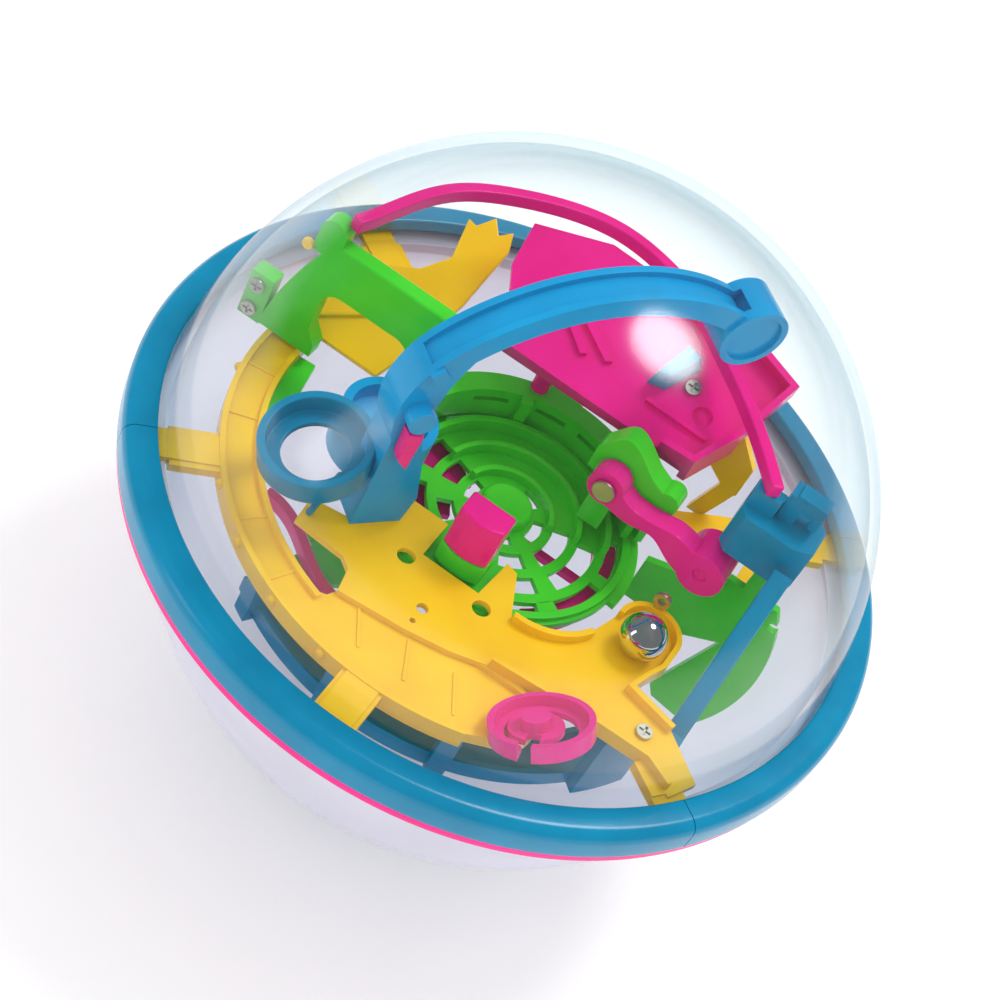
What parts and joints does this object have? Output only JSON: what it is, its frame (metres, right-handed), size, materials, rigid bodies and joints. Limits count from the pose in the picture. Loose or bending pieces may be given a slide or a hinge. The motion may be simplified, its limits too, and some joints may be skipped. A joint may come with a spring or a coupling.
{
  "type": "ball maze puzzle",
  "caption": "clear sphere held by a flat blue and magenta band, with a course of coloured tracks, an arch, a swinging lever and a loose steel ball inside",
  "frame": {"origin": "centre of the sphere", "axes": "+Z along the axis of the band, towards the upper dome; +X and +Y are the symmetry axes of the frame arms, with the steel ball at +X and -Y"},
  "size_m": [0.133, 0.133, 0.122],
  "materials": {
    "blue_abs": "injection-moulded ABS, gloss",
    "magenta_abs": "injection-moulded ABS, gloss",
    "pink_abs": "injection-moulded ABS, gloss",
    "green_abs": "injection-moulded ABS, gloss",
    "yellow_abs": "injection-moulded ABS, gloss",
    "clear_styrene": "clear moulded polystyrene, polished",
    "frosted_styrene": "milky translucent moulded polystyrene, polished",
    "sky_blue_abs": "injection-moulded ABS, gloss",
    "ball_steel": "polished bearing steel",
    "screw_steel": "zinc-plated steel"
  },
  "bodies": {
    "globe": {"upper_dome": "clear_styrene", "lower_dome": "frosted_styrene", "band_right": "blue_abs", "band_back": "blue_abs", "band_left": "blue_abs", "band_front": "blue_abs", "lower_band": "magenta_abs", "ring_track": "yellow_abs", "lane_plate": "yellow_abs", "round_grating": "green_abs", "terrace": "green_abs", "bridge": "green_abs", "bridge_pin": "yellow_abs", "hump": "green_abs", "lever_pin": "screw_steel", "tower_foot": "green_abs", "stop_tower": "magenta_abs", "under_ring": "magenta_abs", "deck": "magenta_abs", "deflector": "blue_abs", "back_ramp": "yellow_abs", "deck_strut": "yellow_abs", "guide_rail": "magenta_abs", "stand": "blue_abs", "right_post": "blue_abs", "side_fin": "green_abs", "lower_track": "blue_abs", "arch": "sky_blue_abs", "arch_clip": "pink_abs", "hoop": "blue_abs", "guide_rod": "blue_abs", "end_cup": "pink_abs", "lower_rails": "magenta_abs", "lower_leaf": "green_abs", "side_flag": "green_abs", "screws": "screw_steel", "pocket_eyelet": "screw_steel"},
    "ball": {"steel_ball": "ball_steel"},
    "lever": {"lever": "pink_abs"}
  },
  "joints": [
    {"name": "ball_roll", "type": "slide", "parent": "globe", "child": "ball", "axis": [-0.16, -0.9871, 0], "range_m": [0, 0.011]},
    {"name": "lever_swing", "type": "hinge", "parent": "globe", "child": "lever", "pos_m": [0.0122, 0.0019, 0.0145], "axis": [0, 1, 0], "range_deg": [-2, 10]}
  ]
}
